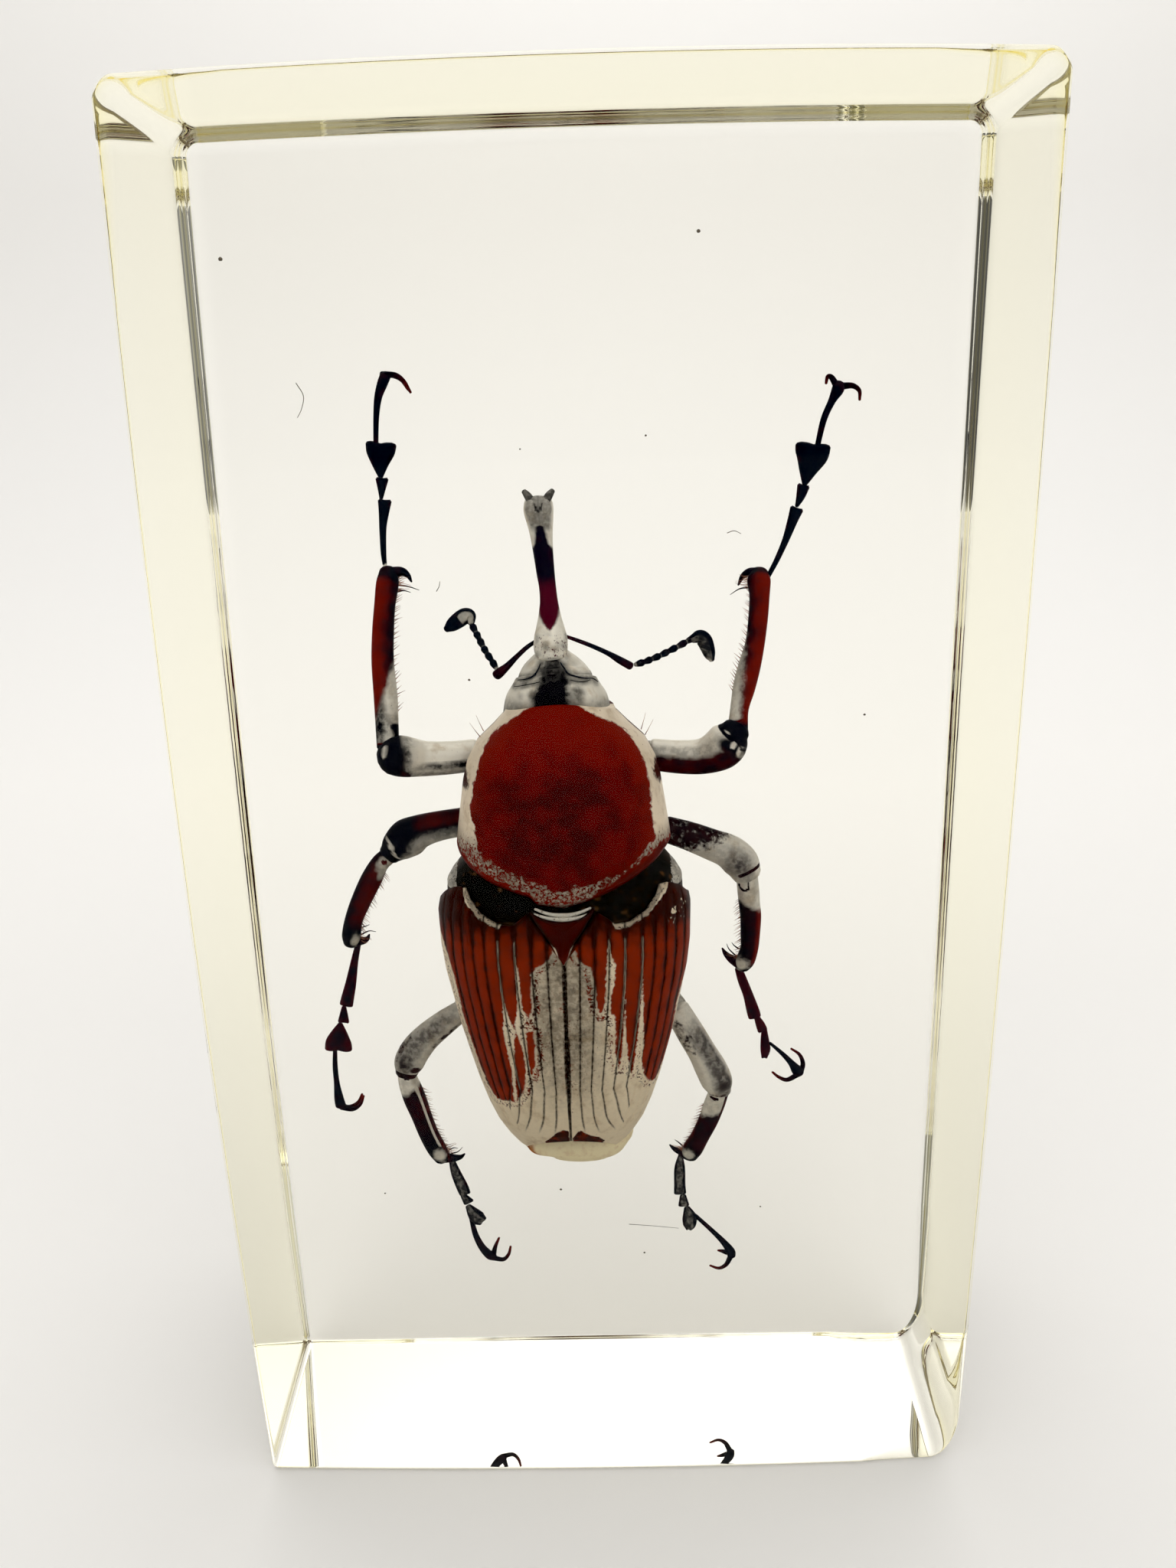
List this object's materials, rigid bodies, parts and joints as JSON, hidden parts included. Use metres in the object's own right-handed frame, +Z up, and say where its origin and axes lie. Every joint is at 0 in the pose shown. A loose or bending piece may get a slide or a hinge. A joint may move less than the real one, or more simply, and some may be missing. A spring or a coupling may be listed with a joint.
{
  "type": "insect in resin block",
  "caption": "Upright clear resin block with a long-snouted weevil sealed inside, its back to the wide front face.",
  "frame": {"origin": "middle of the face the block stands on", "axes": "+Z up along the block, +X to the right and -Y out of the wide face that the insect's back is turned to"},
  "size_m": [0.041, 0.02, 0.073],
  "materials": {
    "clear_resin": "clear cast resin, hand polished, very slightly yellow"
  },
  "bodies": {
    "root": {"resin_block": "clear_resin"}
  },
  "joints": []
}
